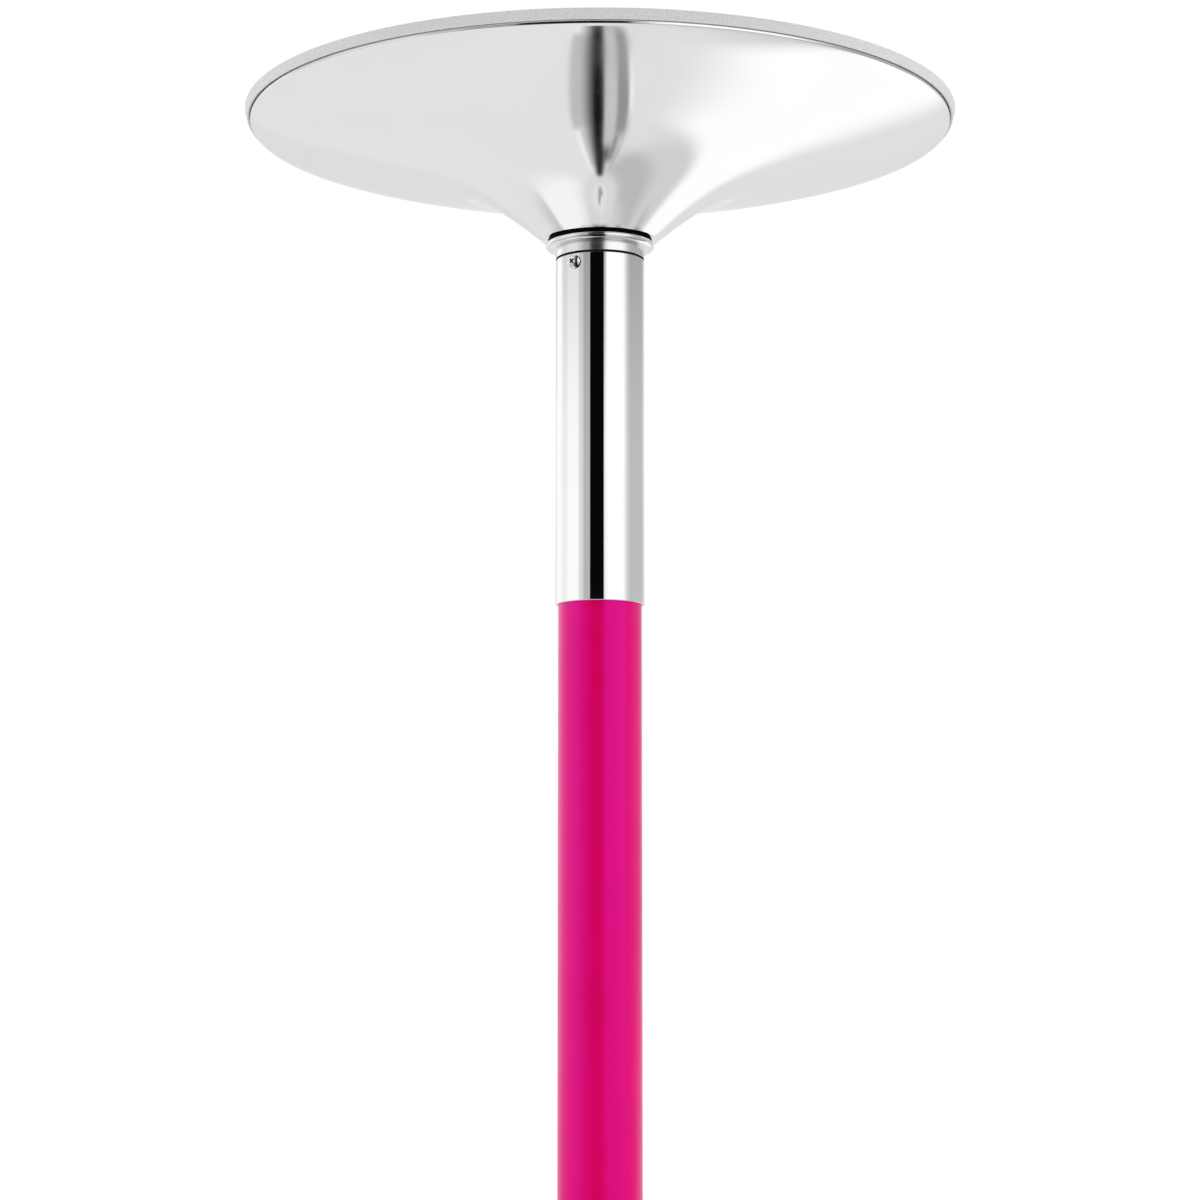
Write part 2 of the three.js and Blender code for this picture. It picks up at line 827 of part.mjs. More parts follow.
function panScrews(prefix, height) {
  return panAzimuths.map((azimuth, i) =>
    piece(`${prefix}_${i + 1}`, 'steel', pointOut(panScrewGeometry(), azimuth, height)));
}

// Grip tube with a hole where a key reaches the joint's bolt
function gripTubeGeometry(low, high, keyHeight) {
  const keyHole = radialDrill(keyHoleDiameter, 0, sleeveRadius, keyAzimuth, keyHeight);
  return cut(ring(gripBore, gripRadius, low, high, tubeFacets), keyHole);
}

// Expanding joint: two half-round jaws on either side of a flat core, pushed apart by bolts
const jointMiddle = (seamHeight + upperTubeLow) / 2;
const jointBoltHeights = [jointMiddle - jointBoltSpacing / 2, jointMiddle + jointBoltSpacing / 2];
const jointCoreFace = jointCoreThickness / 2;

// A joint piece drawn with its thickness along +X, turned so that +X points at the keys
function facingKeys(geometry) {
  return geometry.translate(0, 0, jointMiddle).rotateZ(keyAzimuth - turn / 4);
}

function jawGeometry() {
  const halfAngle = Math.acos((jointCoreFace + seatGap) / spigotRadius);
  const outline = new THREE.Shape().absarc(0, 0, spigotRadius, -halfAngle, halfAngle, false);
  const options = { depth: jointLength, bevelEnabled: false, curveSegments: smallFacets };
  return facingKeys(new THREE.ExtrudeGeometry(outline, options).translate(0, 0, -jointLength / 2));
}

function jointBoltGeometry() {
  const head = gripBore - jointBoltInset;
  const body = disc(jointBoltDiameter / 2, jointCoreFace + seatGap, head, smallFacets);
  return cut(body, hexPrism(jointSocketAcross, head - jointSocketDepth, head + cutOverrun));
}

function jointPieces() {
  const drillDiameter = jointBoltDiameter + 2 * screwGap;
  const boltDrills = jointBoltHeights.map((height) =>
    radialDrill(drillDiameter, 0, sleeveRadius, keyAzimuth, height));
  const core = new THREE.BoxGeometry(jointCoreThickness, jointCoreWidth, jointLength);
  const bolts = jointBoltHeights.map((height, i) =>
    piece(`joint_bolt_${i + 1}`, 'steel', pointOut(jointBoltGeometry(), keyAzimuth, height)));
  return [
    piece('joint_core', 'steel', facingKeys(core)),
    piece('joint_jaw_1', 'steel', cut(jawGeometry(), ...boltDrills)),
    piece('joint_jaw_2', 'steel', jawGeometry().rotateZ(turn / 2)),
    ...bolts,
  ];
}

function spinWasherGeometry() {
  const outer = sleeveRadius - spinWasherRecess;
  const low = ceilingHeight - spinWasherHigh;
  const high = ceilingHeight - spinWasherLow;
  return ring(outer - spinWasherWidth, outer, low, high, tubeFacets);
}

function pole() {
  const group = new THREE.Group();
  group.add(piece('spin_washer', 'nylon', spinWasherGeometry()));
  const outerRace = piece('top_bearing_outer', 'steel', topRaces.outer);
  outerRace.rotation.x = turn / 2;
  outerRace.position.z = ceilingHeight;
  group.add(outerRace);
  group.add(piece('top_hub', 'steel', hubGeometry()));
  const topSleeve = sleeveGeometry(poleTop - topSleeveLength, poleTop, hubScrewHeight);
  group.add(piece('top_sleeve', 'chrome', topSleeve));
  group.add(...panScrews('hub_screw', hubScrewHeight));
  const upperTube = gripTubeGeometry(upperTubeLow, upperTubeHigh, jointBoltHeights[1]);
  group.add(piece('upper_tube', 'grip', upperTube));
  const lowerTube = gripTubeGeometry(lowerTubeLow, seamHeight, jointBoltHeights[0]);
  group.add(piece('lower_tube', 'grip', lowerTube));
  group.add(...jointPieces());
  const bottomSleeve = sleeveGeometry(poleBottom, poleBottom + bottomSleeveLength, bushScrewHeight);
  group.add(piece('bottom_sleeve', 'chrome', bottomSleeve));
  group.add(piece('lift_bush', 'steel', bushGeometry()));
  group.add(...panScrews('bush_screw', bushScrewHeight));
  const thrustRing = ring(nutBore, thrustRingDiameter / 2, thrustRingLow, thrustRingHigh, innerFacets);
  group.add(piece('thrust_ring', 'brass', thrustRing));
  return group;
}

const dancePole = new THREE.Group();
dancePole.add(floorEnd(), ...lockScrews(), rotor(), adjuster(), pole(), ceilingEnd());

export default dancePole;
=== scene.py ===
"""Dance pole held between floor and ceiling: finished pieces, materials, studio and camera.

Lengths are in millimetres until a mesh is made. Azimuths are in degrees round the pole, from 0
toward the camera to +90 toward +X. The two ends of the pole share their profiles, which are drawn
as radius and distance from the floor or ceiling.
"""
import json
import math
from collections import namedtuple

import bmesh
import bpy
from mathutils import Matrix, Vector


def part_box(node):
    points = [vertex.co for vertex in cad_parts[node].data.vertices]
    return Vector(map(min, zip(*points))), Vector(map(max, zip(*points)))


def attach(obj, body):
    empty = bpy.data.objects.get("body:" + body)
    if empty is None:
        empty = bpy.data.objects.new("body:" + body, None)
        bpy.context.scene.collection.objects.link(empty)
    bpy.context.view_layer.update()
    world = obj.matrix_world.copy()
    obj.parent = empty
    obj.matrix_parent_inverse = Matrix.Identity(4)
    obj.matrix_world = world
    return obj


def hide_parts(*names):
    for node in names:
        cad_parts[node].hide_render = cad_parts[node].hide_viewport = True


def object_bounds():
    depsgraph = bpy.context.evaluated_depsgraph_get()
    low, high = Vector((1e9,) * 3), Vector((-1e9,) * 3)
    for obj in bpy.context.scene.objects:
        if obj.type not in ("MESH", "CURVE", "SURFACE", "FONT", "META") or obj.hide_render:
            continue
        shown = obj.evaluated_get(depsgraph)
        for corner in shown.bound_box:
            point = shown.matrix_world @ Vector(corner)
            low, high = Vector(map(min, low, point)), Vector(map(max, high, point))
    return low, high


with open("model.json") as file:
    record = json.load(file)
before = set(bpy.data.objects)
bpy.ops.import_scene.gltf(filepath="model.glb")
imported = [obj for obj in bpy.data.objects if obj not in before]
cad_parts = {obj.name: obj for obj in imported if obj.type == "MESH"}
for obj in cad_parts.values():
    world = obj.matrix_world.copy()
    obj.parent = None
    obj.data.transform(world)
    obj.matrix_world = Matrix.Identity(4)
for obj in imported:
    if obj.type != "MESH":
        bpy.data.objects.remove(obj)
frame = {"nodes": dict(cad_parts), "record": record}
cad_box = [list(corner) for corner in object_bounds()]
record = frame["record"]

MM = 0.001
TURN = 2 * math.pi
QUARTER_TURN = TURN / 4

# Curve resolution
BELL_SEGMENTS = 256
TUBE_SEGMENTS = 128
SMALL_SEGMENTS = 48
NUT_SIDE_SEGMENTS = 24
SOCKET_SIDE_SEGMENTS = 4
PROFILE_STEPS = 72
FILLET_STEPS = 4
ROLL_STEPS = 5
BEAD_STEPS = 14
CROWN_STEPS = 10
CREASE_ANGLE = math.radians(32)
NUT_CREASE_ANGLE = math.radians(20)
MERGE_DISTANCE = 0.0005
SAME_HEIGHT = 0.01

# Fillets: a corner flatter than this angle stays as it is, and a fillet takes at most a share of
# each side beside it. A support point lies past each end of it, by a share of its reach.
FLATTEST_CORNER = math.radians(164)
CORNER_SHARE = 0.45
SUPPORT_SHARE = 0.7

# Clearances that the solids have too, and how far a cutter runs past what it cuts
SEAT_GAP = 0.25
SLIP_GAP = 0.25
SCREW_GAP = 0.2
COLLAR_GAP = 0.5
CUT_OVERRUN = 1

# Pad
PAD_TAPER = 1.3
PAD_FILLET = 0.5

# Bell: a steep neck that runs out into a shallow cone and turns down a little at the rim. Slopes
# are depth for each unit of radius, and a reach is how far a change of slope extends.
RIM_ROLL = 0.5
RIM_LIP = 2.2
BELL_SHEET = 1.2
HOUSING_WALL = 2.9
NECK_CLEARANCE = 0.6
NECK_LAND = 4.2
NECK_CHAMFER = 0.2
NECK_SLOPE = 0.855
NECK_REACH = 45
CONE_SLOPE = 0.234
RIM_SLOPE = 0.152
RIM_REACH = 12

# Collars, washers and the post that they lie on. A washer swells toward the pieces beside it, and its
# edge is wider by a spread or narrower by a draft than the solid's; the swell and the spread fill the
# gaps beside it with its black, as painted shade.
POST_DIAMETER = 28
BEAD_HEIGHT = 3.65
BEAD_RISE = 0.2
STEP_PROUD = 0.2
STEP_FILLET = 0.15
WASHER_FILLET = 0.08
BELL_WASHER_SWELL = 0.03
BELL_WASHER_SPREAD = 0.9
BELL_WASHER_DRAFT = 2.4
SPIN_WASHER_WIDTH = 5.6
SPIN_WASHER_SWELL = 0.24
SPIN_WASHER_SPREAD = 0.3

# Sleeves and grip tubes
SLEEVE_WALL = 1.25
SLEEVE_FILLET = 0.15
GRIP_WALL = 2
TUBE_FILLET = 0.4
KEY_HOLE_DIAMETER = 8

# Pan head screws. The crown's faces point along the screw to within a cosine.
PAN_HEAD_DIAMETER = 7.8
PAN_SHANK_DIAMETER = 4
PAN_SIDE_SHARE = 0.3
PAN_CROWN_POWER = 3
PAN_SEAT_RISE = 0.15
RECESS_LENGTH = 3.4
RECESS_WIDTH = 1
RECESS_DEPTH = 1.2
RECESS_TAPER_SHARE = 0.55
RECESS_TURN = math.radians(4)
CROWN_COSINE = 0.7

# Screw jack
THREAD_DIAMETER = 24
THREAD_PITCH = 5
THREAD_DEPTH = 2
THREAD_CREST_SHARE = 0.34
THREAD_FLANK_SHARE = 0.16
THREAD_STEPS = 48
THREAD_CHAMFER = 1.5
THREAD_RUNOUT = 2.2
CORE_INSET = 0.01
NUT_ACROSS = 41
NUT_CHAMFER = 1.6
NUT_BORE_CHAMFER = 0.8
NUT_FALL_SHARE = 0.6
HEX_SIDES = 6
SHOULDER_DIAMETER = 34
SHOULDER_HEIGHT = 6
RING_FILLET = 0.3

# Lock screws
LOCK_SCREW_DIAMETER = 6
LOCK_SOCKET_ACROSS = 3
LOCK_SOCKET_DEPTH = 2.4
LOCK_CHAMFER = 0.5


# Sizes and places from the solids

def span(node):
    """Outer radius, low height and high height of a node on the pole's axis."""
    low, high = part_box(node)
    return (high.x - low.x) / 2 / MM, low.z / MM, high.z / MM


def middle(node):
    """Centre of a node's box."""
    low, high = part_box(node)
    return (low + high) / 2 / MM


def span_inside(node):
    """Radius of a ring's bore."""
    vertices = frame["nodes"][node].data.vertices
    return min(math.hypot(vertex.co.x, vertex.co.y) for vertex in vertices) / MM


def span_along(node, direction):
    """Least and greatest distance of a node's points along a direction from the axis."""
    values = [vertex.co.dot(direction) / MM for vertex in frame["nodes"][node].data.vertices]
    return min(values), max(values)


def sleeve_radius():
    return span("top_sleeve")[0]


def grip_bore():
    return span("upper_tube")[0] - GRIP_WALL


def housing_bore():
    return span("base_bearing_outer")[0] + SEAT_GAP


def neck_radii():
    """Bore and outer radius of the bells' neck, from the base bearing's housing."""
    bore = housing_bore() + HOUSING_WALL + NECK_CLEARANCE
    return bore, bore + NECK_LAND


# Directions

def toward(azimuth):
    """Unit vector out from the axis at an azimuth in degrees."""
    angle = math.radians(azimuth)
    return Vector((math.sin(angle), -math.cos(angle), 0))


def azimuth_of(point):
    return math.degrees(math.atan2(point.x, -point.y))


# Mesh helpers

def unit(x, y):
    length = math.hypot(x, y)
    return x / length, y / length


def filleted(outline, radius):
    """Rounds each corner of a closed outline that lies off the axis, with a point just past each
    end of the rounding, so that the long faces beside it shade flat."""
    rounded = []
    count = len(outline)
    for i, (x, y) in enumerate(outline):
        before = outline[i - 1]
        after = outline[(i + 1) % count]
        span_before = math.hypot(before[0] - x, before[1] - y)
        span_after = math.hypot(after[0] - x, after[1] - y)
        if x <= 0 or min(span_before, span_after) == 0:
            rounded.append((x, y))
            continue
        ax, ay = unit(before[0] - x, before[1] - y)
        bx, by = unit(after[0] - x, after[1] - y)
        half = math.acos(max(-1, min(1, ax * bx + ay * by))) / 2
        if half > FLATTEST_CORNER / 2:
            rounded.append((x, y))
            continue
        room_before, room_after = span_before * CORNER_SHARE, span_after * CORNER_SHARE
        reach = min(radius / math.tan(half), room_before, room_after)
        support = reach * (1 + SUPPORT_SHARE)
        if support < room_before:
            rounded.append((x + support * ax, y + support * ay))
        for j in range(FILLET_STEPS + 1):
            t = j / FILLET_STEPS
            near, far = (1 - t) ** 2, t ** 2
            rounded.append((x + reach * (near * ax + far * bx), y + reach * (near * ay + far * by)))
        if support < room_after:
            rounded.append((x + support * bx, y + support * by))
    return rounded


def finish_mesh(name, bm, body, nodes, slot, crease=CREASE_ANGLE):
    """Turns a bmesh into a piece that stands for CAD nodes and rides on their body."""
    bmesh.ops.remove_doubles(bm, verts=bm.verts, dist=MM * MERGE_DISTANCE)
    bmesh.ops.recalc_face_normals(bm, faces=bm.faces)
    mesh = bpy.data.meshes.new(name)
    bm.to_mesh(mesh)
    bm.free()
    mesh.shade_smooth()
    mesh.set_sharp_from_angle(angle=crease)
    thing = bpy.data.objects.new(name, mesh)
    bpy.context.collection.objects.link(thing)
    if body:
        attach(thing, body)
        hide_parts(*nodes)
        mesh.materials.append(materials[slot])
    return thing


def refinish_where(thing, material, chosen):
    """Gives the faces of a piece that a test chooses a second finish."""
    thing.data.materials.append(material)
    for face in thing.data.polygons:
        if chosen(face):
            face.material_index = 1


def turned_mesh(outline, segments, outline_at=None):
    """Closed surface of a closed outline of radius and height, turned about the axis. Where the
    outline changes on the way round, a function gives it for each angle."""
    bm = bmesh.new()
    rings = []
    for i in range(segments):
        angle = TURN * i / segments
        points = outline_at(angle) if outline_at else outline
        ring = [bm.verts.new((r * math.sin(angle) * MM, -r * math.cos(angle) * MM, z * MM))
                for r, z in points]
        rings.append(ring)
    count = len(rings[0])
    for i in range(segments):
        here, there = rings[i], rings[(i + 1) % segments]
        for j in range(count):
            k = (j + 1) % count
            corners = []
            for vertex in (here[j], here[k], there[k], there[j]):
                if all((vertex.co - other.co).length > MM * MERGE_DISTANCE for other in corners):
                    corners.append(vertex)
            if len(corners) > 2:
                bm.faces.new(corners)
    return bm


def cutter(bm):
    """Object for a boolean, from a bmesh."""
    return finish_mesh("cutter", bm, None, (), None)


def apply_cuts(thing, cutters):
    """Cuts shapes out of a piece for good."""
    for tool in cutters:
        modifier = thing.modifiers.new("cut", "BOOLEAN")
        modifier.operation = "DIFFERENCE"
        modifier.solver = "EXACT"
        modifier.object = tool
    depsgraph = bpy.context.evaluated_depsgraph_get()
    mesh = bpy.data.meshes.new_from_object(thing.evaluated_get(depsgraph))
    thing.modifiers.clear()
    thing.data = mesh
    mesh.shade_smooth()
    mesh.set_sharp_from_angle(angle=CREASE_ANGLE)
    for tool in cutters:
        bpy.data.objects.remove(tool, do_unlink=True)
    return thing


def pointing_out(bm, azimuth, height):
    """Moves a bmesh drawn along +Z so that it points out from the axis at a height."""
    tilt = Vector((0, 0, 1)).rotation_difference(toward(azimuth)).to_matrix().to_4x4()
    bmesh.ops.transform(bm, matrix=Matrix.Translation((0, 0, height * MM)) @ tilt, verts=bm.verts)
    return bm


def drill(diameter, start, end, azimuth, height):
    """Cutter for a round hole across the pole, from one distance off its axis to another."""
    radius = diameter / 2
    bm = turned_mesh([(0, start), (radius, start), (radius, end), (0, end)], SMALL_SEGMENTS)
    return cutter(pointing_out(bm, azimuth, height))


def drills_at(nodes, diameter, start):
    """Cutters for holes out from a distance off the axis, one where each node is."""
    places = [middle(node) for node in nodes]
    end = sleeve_radius() + CUT_OVERRUN
    return [drill(diameter, start, end, azimuth_of(place), place.z) for place in places]


def arc(centre, height, radius, start, end, steps):
    """Outline points of an arc from one angle to another, where 0 points away from the axis."""
    angles = [start + (end - start) * i / steps for i in range(steps + 1)]
    return [(centre + radius * math.cos(a), height + radius * math.sin(a)) for a in angles]


def ring_outline(bore, radius, low, high):
    return [(bore, low), (radius, low), (radius, high), (bore, high)]


def hex_radius(across, angle):
    """Distance from the axis to a hexagon's side."""
    side = TURN / HEX_SIDES
    return across / 2 / math.cos((angle % side) - side / 2)


# Materials

# Screen values: the largest, and the standard curve that turns them into amounts of light
SCREEN_WHITE = 255
CURVE_START = 0.04045
CURVE_START_SLOPE = 12.92
CURVE_OFFSET = 0.055
CURVE_POWER = 2.4

# Where most of a noise texture's values lie, and the colour sockets of a Mix node
NOISE_LOW = 0.35
NOISE_HIGH = 0.65
MIX_FIRST = 6
MIX_SECOND = 7
MIX_RESULT = 2

# Plated chrome: its least bright patches as a share of the brightest, and its trace of blue
WORN_SHARE = 0.975
BLUE_SHARE = 1.006

# Turned metal: rings, from noise that is drawn out sideways, and their depth in millimetres
RING_STRETCH_SHARE = 0.03
RING_DETAIL = 4
RING_DEPTH = 0.01
RING_ROUGHENING = 0.12
STAIN_DETAIL = 5

# The pink's gloss: a strong surface reflection with a violet tint
PINK_IOR = 2.2
PINK_GLOSS = (0.55, 0.04, 1, 1)


def linear(value):
    """Amount of light for a screen value."""
    share = value / SCREEN_WHITE
    if share <= CURVE_START:
        return share / CURVE_START_SLOPE
    return ((share + CURVE_OFFSET) / (1 + CURVE_OFFSET)) ** CURVE_POWER


def srgb(red, green, blue):
    """Linear colour from 8-bit screen values."""
    return (linear(red), linear(green), linear(blue), 1)


class Finish:
    """A material that is built up round one Principled shader."""

    def __init__(self, name, **values):
        self.material = bpy.data.materials.new(name)
        self.material.use_nodes = True
        self.tree = self.material.node_tree
        self.shader = self.tree.nodes["Principled BSDF"]
        for socket, value in values.items():
            self.shader.inputs[socket.replace("_", " ")].default_value = value
        self.place = self.tree.nodes.new("ShaderNodeTexCoord").outputs["Object"]

    def link(self, source, target):
        self.tree.links.new(source, target)

    def stretched(self, x, y, z):
        """Object coordinates scaled by axis."""
        mapping = self.tree.nodes.new("ShaderNodeMapping")
        mapping.inputs["Scale"].default_value = (x, y, z)
        self.link(self.place, mapping.inputs["Vector"])
        return mapping.outputs["Vector"]

    def noise(self, size, detail=3, vector=None):
        """Noise with features of a size in millimetres."""
        node = self.tree.nodes.new("ShaderNodeTexNoise")
        node.inputs["Scale"].default_value = 1 / (size * MM)
        node.inputs["Detail"].default_value = detail
        self.link(vector or self.place, node.inputs["Vector"])
        return node.outputs["Fac"]

    def speckle(self, size):
        """Cells of a size in millimetres, as their distance to the nearest point."""
        node = self.tree.nodes.new("ShaderNodeTexVoronoi")
        node.inputs["Scale"].default_value = 1 / (size * MM)
        self.link(self.place, node.inputs["Vector"])
        return node.outputs["Distance"]

    def ranged(self, value, low, high):
        """A value between two others, from a noise texture."""
        node = self.tree.nodes.new("ShaderNodeMapRange")
        node.inputs["From Min"].default_value = NOISE_LOW
        node.inputs["From Max"].default_value = NOISE_HIGH
        node.inputs["To Min"].default_value = low
        node.inputs["To Max"].default_value = high
        self.link(value, node.inputs["Value"])
        return node.outputs["Result"]

    def colours(self, first, second, size, detail=3):
        """Base colour that drifts between two colours in patches of a size."""
        share = self.ranged(self.noise(size, detail), 0, 1)
        node = self.tree.nodes.new("ShaderNodeMix")
        node.data_type = "RGBA"
        node.inputs[MIX_FIRST].default_value = first
        node.inputs[MIX_SECOND].default_value = second
        self.link(share, node.inputs["Factor"])
        self.link(node.outputs[MIX_RESULT], self.shader.inputs["Base Color"])

    def roughness(self, texture, low, high):
        """Roughness that varies with a texture."""
        self.link(self.ranged(texture, low, high), self.shader.inputs["Roughness"])

    def bump(self, texture, depth):
        """Bump of a depth in millimetres, on top of any before it."""
        node = self.tree.nodes.new("ShaderNodeBump")
        node.inputs["Distance"].default_value = depth * MM
        self.link(texture, node.inputs["Height"])
        normal = self.shader.inputs["Normal"]
        if normal.is_linked:
            self.link(normal.links[0].from_socket, node.inputs["Normal"])
        self.link(node.outputs["Normal"], normal)


def plated(name, tone, smooth, dull, waviness):
    """Chrome plate: nearly even, with handling smears and a trace of the polishing under it."""
    finish = Finish(name, Metallic=1.0)
    shades = (tone, tone * WORN_SHARE)
    bright, worn = [(shade, shade, shade * BLUE_SHARE, 1) for shade in shades]
    finish.colours(bright, worn, size=60)
    finish.roughness(finish.noise(size=25, detail=4), smooth, dull)
    finish.bump(finish.noise(size=18, detail=2), waviness)
    return finish.material


def powder_coat():
    """Magenta coat: a deep base colour under a violet gloss, with a fine orange peel."""
    finish = Finish("pink_powder_coat", IOR=PINK_IOR, Specular_Tint=PINK_GLOSS)
    finish.colours(srgb(238, 2, 96), srgb(243, 4, 102), size=35)
    finish.roughness(finish.noise(size=12, detail=4), low=0.2, high=0.26)
    finish.bump(finish.noise(size=1.6, detail=2), depth=0.006)
    return finish.material


def pad_rubber():
    """Light grey rubber with a fine open grain."""
    finish = Finish("pad_rubber_grain", Specular_IOR_Level=0.2)
    finish.colours(srgb(214, 214, 214), srgb(231, 231, 231), size=0.8, detail=4)
    finish.roughness(finish.noise(size=3), low=0.75, high=0.95)
    finish.bump(finish.noise(size=0.6, detail=4), depth=0.05)
    finish.bump(finish.speckle(size=1.3), depth=0.02)
    return finish.material


def black_nylon():
    """Black nylon, scuffed a little greyer."""
    finish = Finish("black_nylon_washer", Specular_IOR_Level=0.15)
    finish.colours(srgb(5, 5, 5), srgb(20, 20, 21), size=2.5, detail=4)
    finish.roughness(finish.noise(size=1.5), low=0.6, high=0.8)
    finish.bump(finish.noise(size=0.6), depth=0.02)
    return finish.material


def turned_metal(name, fresh, stained, stain_size, ring_size, smooth):
    """Turned metal: fine rings round the axis, with stains."""
    finish = Finish(name, Metallic=1.0)
    stretched = finish.stretched(RING_STRETCH_SHARE, RING_STRETCH_SHARE, 1)
    rings = finish.noise(ring_size, RING_DETAIL, stretched)
    finish.colours(fresh, stained, stain_size, STAIN_DETAIL)
    finish.roughness(rings, smooth, smooth + RING_ROUGHENING)
    finish.bump(rings, RING_DEPTH)
    return finish.material


def screw_nickel():
    """Bright nickel plate."""
    finish = Finish("screw_nickel", Metallic=1.0)
    finish.colours(srgb(238, 238, 240), srgb(252, 252, 253), size=1.4, detail=5)
    finish.roughness(finish.noise(size=0.8), low=0.02, high=0.04)
    finish.bump(finish.noise(size=0.9), depth=0.001)
    return finish.material


def recess_painted_shade():
    """Painted shade for the screws' cross recesses: near black, where shade falls inside them."""
    finish = Finish("recess_painted_shade", Specular_IOR_Level=0.1)
    # These near-black colours are painted shade, the dark inside a recess
    finish.colours(srgb(4, 4, 4), srgb(22, 20, 18), size=0.3, detail=4)
    finish.roughness(finish.noise(size=0.4), low=0.8, high=1)
    return finish.material


def plate_steel():
    grey, pale = srgb(168, 170, 174), srgb(190, 192, 196)
    return turned_metal("plate_steel", grey, pale, stain_size=14, ring_size=0.6, smooth=0.3)


def thread_steel():
    grey, pale = srgb(150, 152, 156), srgb(196, 198, 202)
    return turned_metal("thread_steel", grey, pale, stain_size=14, ring_size=0.5, smooth=0.22)


def bearing_steel():
    grey, pale = srgb(188, 190, 194), srgb(208, 210, 214)
    return turned_metal("bearing_steel", grey, pale, stain_size=14, ring_size=0.3, smooth=0.12)


def ring_brass():
    fresh, tarnished = srgb(214, 178, 104), srgb(178, 138, 70)
    return turned_metal("thrust_ring_brass", fresh, tarnished, stain_size=9, ring_size=0.4, smooth=0.22)


# The finish of each material slot, and three finishes that some pieces have in its place or beside it
materials = {
    "chrome": plated("tube_chrome", tone=0.93, smooth=0.025, dull=0.05, waviness=0.0002),
    "pink_coat": powder_coat(),
    "pad_rubber": pad_rubber(),
    "black_nylon": black_nylon(),
    "plate_steel": plate_steel(),
    "thread_steel": thread_steel(),
    "bearing_steel": bearing_steel(),
    "screw_steel": screw_nickel(),
    "brass": ring_brass(),
}
bell_chrome = plated("spun_chrome", tone=0.95, smooth=0.07, dull=0.1, waviness=0.0004)
satin_chrome = plated("satin_chrome", tone=0.95, smooth=0.2, dull=0.27, waviness=0.0004)
# Near-black painted shade for the screws' recesses
recess_shade = recess_painted_shade()


def dress_solids():
    """Gives every CAD node the material of its slot."""
    slots = {row["node"]: row["material_slot"] for row in record["subparts"]}
    for node, thing in frame["nodes"].items():
        finish = materials[slots[node]]
        thing.data.materials.clear()
        thing.data.materials.append(finish)


# The two mounting ends

def bell_slope(distance, width):
    """Slope of the bell's shown side, a distance out from its neck."""
    neck = (NECK_SLOPE - CONE_SLOPE) * math.exp(-(distance / NECK_REACH) ** 2)
    rim = RIM_SLOPE * math.exp((distance - width) / RIM_REACH)
    return CONE_SLOPE + neck + rim


def bell_outline(bell_radius, rim_height, depth):
    """Closed outline of a bell, as radius and distance from the floor or ceiling."""
    roll_centre = bell_radius - RIM_ROLL
    roll_height = rim_height + RIM_LIP - RIM_ROLL
    lean = math.atan(CONE_SLOPE + RIM_SLOPE)
    neck_bore, neck_radius = neck_radii()
    width = roll_centre + RIM_ROLL * math.sin(lean) - neck_radius
    drop = depth - NECK_CHAMFER - roll_height - RIM_ROLL * math.cos(lean)
    step = width / PROFILE_STEPS
    falls = [0]
    for i in range(PROFILE_STEPS):
        falls.append(falls[-1] + bell_slope((i + 1 / 2) * step, width) * step)
    fit = drop / falls[-1]
    shown, hidden = [], []
    for i, fall in enumerate(falls):
        inward_x, inward_y = unit(bell_slope(i * step, width) * fit, 1)
        radius, height = neck_radius + i * step, depth - NECK_CHAMFER - fall * fit
        shown.append((radius, height))
        hidden.append((radius - inward_x * BELL_SHEET, max(height - inward_y * BELL_SHEET, rim_height)))
    roll = arc(roll_centre, roll_height, RIM_ROLL, QUARTER_TURN - lean, 0, ROLL_STEPS)
    foot = arc(roll_centre, rim_height + RIM_ROLL, RIM_ROLL, 0, -QUARTER_TURN, ROLL_STEPS)
    neck = [
        (neck_bore, depth - BELL_SHEET),
        (neck_bore, depth),
        (neck_radius - NECK_CHAMFER, depth),
    ]
    return neck + shown[:-1] + roll + foot + hidden[::-1]


def from_end(outline, at_ceiling):
    """Outline measured from the floor or from the ceiling, as heights."""
    ceiling = cad_box[1][2] / MM
    return [(r, ceiling - z) for r, z in outline] if at_ceiling else list(outline)


def depths(node, at_ceiling):
    """Outer radius of a node and its near and far distance from the floor or ceiling."""
    radius, low, high = span(node)
    ceiling = cad_box[1][2] / MM
    return (radius, ceiling - high, ceiling - low) if at_ceiling else (radius, low, high)


def pad_piece(node, plate, body, at_ceiling):
    """Rubber pad: a thin disc with a tapered skirt round the plate."""
    radius, near, far = depths(node, at_ceiling)
    plate_radius, plate_near, _ = depths(plate, at_ceiling)
    skirt_bore = plate_radius + SEAT_GAP
    outline = filleted([
        (0, near),
        (radius, near),
        (radius - PAD_TAPER, far),
        (skirt_bore, far),
        (skirt_bore, plate_near - SEAT_GAP),
        (0, plate_near - SEAT_GAP),
    ], PAD_FILLET)
    bm = turned_mesh(from_end(outline, at_ceiling), BELL_SEGMENTS)
    finish_mesh(f"{node}_grained", bm, body, (node,), "pad_rubber")


def bell_piece(node, body, at_ceiling):
    radius, near, far = depths(node, at_ceiling)
    outline = bell_outline(radius, near, far)
    bm = turned_mesh(from_end(outline, at_ceiling), BELL_SEGMENTS)
    refinish(finish_mesh(f"{node}_spun", bm, body, (node,), "chrome"), bell_chrome)


def refinish(thing, material):
    """Gives a piece a finish of its own in place of its slot's."""
    thing.data.materials.clear()
    thing.data.materials.append(material)


